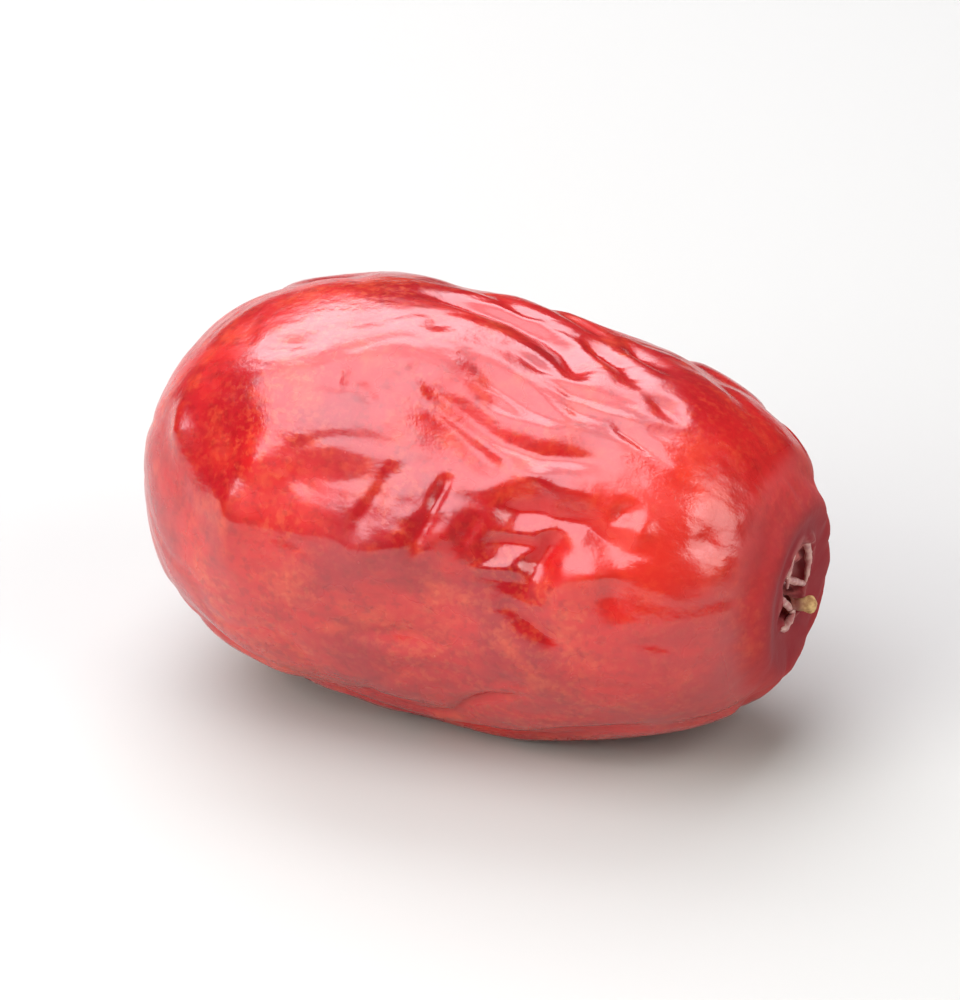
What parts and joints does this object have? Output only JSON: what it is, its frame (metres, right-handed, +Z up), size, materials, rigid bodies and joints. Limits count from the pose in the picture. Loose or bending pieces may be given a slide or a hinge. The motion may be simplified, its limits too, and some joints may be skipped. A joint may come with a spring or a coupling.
{
  "type": "dried jujube",
  "caption": "Whole dried jujube lying on its side: an oblong wrinkled fruit with a hollow at the stem end and a dried stalk stub in it.",
  "frame": {"origin": "on the table, under the middle of the fruit's bounding box", "axes": "+X runs along the fruit from its blossom end to its stem end, +Z is up, -Y is the side that the picture shows"},
  "size_m": [0.0506, 0.0324, 0.0306],
  "materials": {
    "skin": "satin",
    "stalk": "matte"
  },
  "bodies": {
    "root": {"fruit": "skin", "stem_stub": "stalk"}
  },
  "joints": []
}
